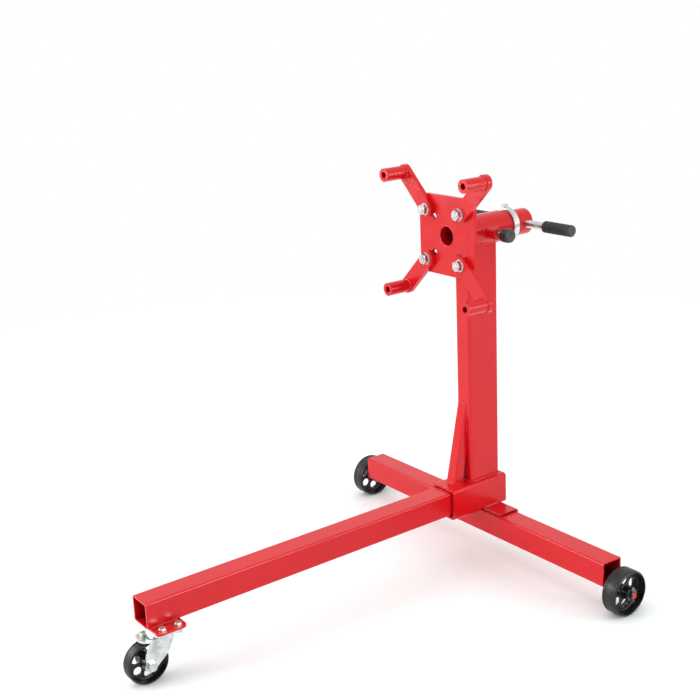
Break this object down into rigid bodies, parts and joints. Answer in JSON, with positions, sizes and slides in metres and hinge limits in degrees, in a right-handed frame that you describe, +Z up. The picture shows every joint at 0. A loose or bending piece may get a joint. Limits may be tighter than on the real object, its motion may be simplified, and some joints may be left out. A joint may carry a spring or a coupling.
{
  "type": "engine stand",
  "caption": "Three-wheel engine stand: a rear beam, a front leg on a swivel caster, a braced post, and a turning head with adjustable mounting arms.",
  "frame": {"origin": "on the floor, at the middle of the stand's overall box", "axes": "+Z up, the front leg points to -Y, the rear beam lies along X"},
  "size_m": [0.839, 0.9835, 0.8334],
  "materials": {
    "red_paint": "glossy powder coat",
    "zinc_steel": "bright zinc plate",
    "black_wheel": "glossy black",
    "grip_rubber": "matt"
  },
  "bodies": {
    "root": {"rear_beam": "red_paint", "front_leg": "red_paint", "leg_socket": "red_paint", "leg_liner": "red_paint", "saddle_plate": "red_paint", "saddle_bolts": "zinc_steel", "saddle_weld_nuts": "red_paint", "leg_set_bolts": "zinc_steel", "leg_set_nuts": "red_paint", "post": "red_paint", "brace": "red_paint", "rear_axle": "red_paint", "axle_washers": "zinc_steel", "split_pins": "zinc_steel", "caster_plate": "red_paint", "caster_top_plate": "zinc_steel", "caster_bolts": "zinc_steel", "caster_nuts": "zinc_steel", "kingpin": "zinc_steel", "head_sleeve": "red_paint", "lock_pin_boss": "red_paint"},
    "left_wheel": {"rear_wheel_left": "black_wheel"},
    "right_wheel": {"rear_wheel_right": "black_wheel"},
    "swivel_fork": {"caster_fork": "zinc_steel", "swivel_balls": "zinc_steel", "wheel_bush": "zinc_steel", "wheel_bolt": "zinc_steel", "wheel_nut": "zinc_steel"},
    "swivel_wheel": {"front_wheel": "black_wheel"},
    "head": {"head_shaft": "red_paint", "thrust_washer": "zinc_steel", "mounting_plate": "red_paint", "retaining_collar": "zinc_steel", "collar_screw": "zinc_steel"},
    "handle": {"handle_bar": "zinc_steel", "handle_grips": "grip_rubber"},
    "pin": {"lock_pin": "zinc_steel", "lock_pin_knob": "grip_rubber"},
    "clamp_1": {"clamp_bolt_1": "zinc_steel", "clamp_washers_1": "zinc_steel", "clamp_nut_1": "zinc_steel"},
    "mounting_arm_1": {"arm_1": "red_paint", "arm_tube_1": "red_paint"},
    "clamp_2": {"clamp_bolt_2": "zinc_steel", "clamp_washers_2": "zinc_steel", "clamp_nut_2": "zinc_steel"},
    "mounting_arm_2": {"arm_2": "red_paint", "arm_tube_2": "red_paint"},
    "clamp_3": {"clamp_bolt_3": "zinc_steel", "clamp_washers_3": "zinc_steel", "clamp_nut_3": "zinc_steel"},
    "mounting_arm_3": {"arm_3": "red_paint", "arm_tube_3": "red_paint"},
    "clamp_4": {"clamp_bolt_4": "zinc_steel", "clamp_washers_4": "zinc_steel", "clamp_nut_4": "zinc_steel"},
    "mounting_arm_4": {"arm_4": "red_paint", "arm_tube_4": "red_paint"}
  },
  "joints": [
    {"name": "left_wheel_spin", "type": "hinge", "parent": "root", "child": "left_wheel", "pos_m": [-0.3935, 0.36775, 0.046], "axis": [1, 0, 0], "continuous": true},
    {"name": "right_wheel_spin", "type": "hinge", "parent": "root", "child": "right_wheel", "pos_m": [0.3935, 0.36775, 0.046], "axis": [1, 0, 0], "continuous": true},
    {"name": "caster_swivel", "type": "hinge", "parent": "root", "child": "swivel_fork", "pos_m": [0, -0.41825, 0.089], "axis": [0, 0, 1], "continuous": true},
    {"name": "front_wheel_spin", "type": "hinge", "parent": "swivel_fork", "child": "swivel_wheel", "pos_m": [0, -0.45125, 0.0405], "axis": [1, 0, 0], "continuous": true},
    {"name": "head_turn", "type": "hinge", "parent": "root", "child": "head", "pos_m": [0, 0.36175, 0.7], "axis": [0, 1, 0], "continuous": true},
    {"name": "handle_slide", "type": "slide", "parent": "head", "child": "handle", "axis": [1, 0, 0], "range_m": [-0.05, 0.05]},
    {"name": "lock_pin_slide", "type": "slide", "parent": "root", "child": "pin", "axis": [1, 0, 0], "range_m": [-0.014, 0.012]},
    {"name": "clamp_1_slide", "type": "slide", "parent": "head", "child": "clamp_1", "axis": [0.7071, 0, 0.7071], "range_m": [-0.02, 0.02]},
    {"name": "arm_1_swing", "type": "hinge", "parent": "clamp_1", "child": "mounting_arm_1", "pos_m": [0.0502, 0.27435, 0.75021], "axis": [0, -1, 0], "range_deg": [-45, 45]},
    {"name": "clamp_2_slide", "type": "slide", "parent": "head", "child": "clamp_2", "axis": [-0.7071, 0, 0.7071], "range_m": [-0.02, 0.02]},
    {"name": "arm_2_swing", "type": "hinge", "parent": "clamp_2", "child": "mounting_arm_2", "pos_m": [-0.0502, 0.27435, 0.75021], "axis": [0, -1, 0], "range_deg": [-45, 45]},
    {"name": "clamp_3_slide", "type": "slide", "parent": "head", "child": "clamp_3", "axis": [-0.7071, 0, -0.7071], "range_m": [-0.02, 0.02]},
    {"name": "arm_3_swing", "type": "hinge", "parent": "clamp_3", "child": "mounting_arm_3", "pos_m": [-0.0502, 0.27435, 0.6498], "axis": [0, -1, 0], "range_deg": [-45, 45]},
    {"name": "clamp_4_slide", "type": "slide", "parent": "head", "child": "clamp_4", "axis": [0.7071, 0, -0.7071], "range_m": [-0.02, 0.02]},
    {"name": "arm_4_swing", "type": "hinge", "parent": "clamp_4", "child": "mounting_arm_4", "pos_m": [0.0502, 0.27435, 0.6498], "axis": [0, -1, 0], "range_deg": [-45, 45]}
  ]
}
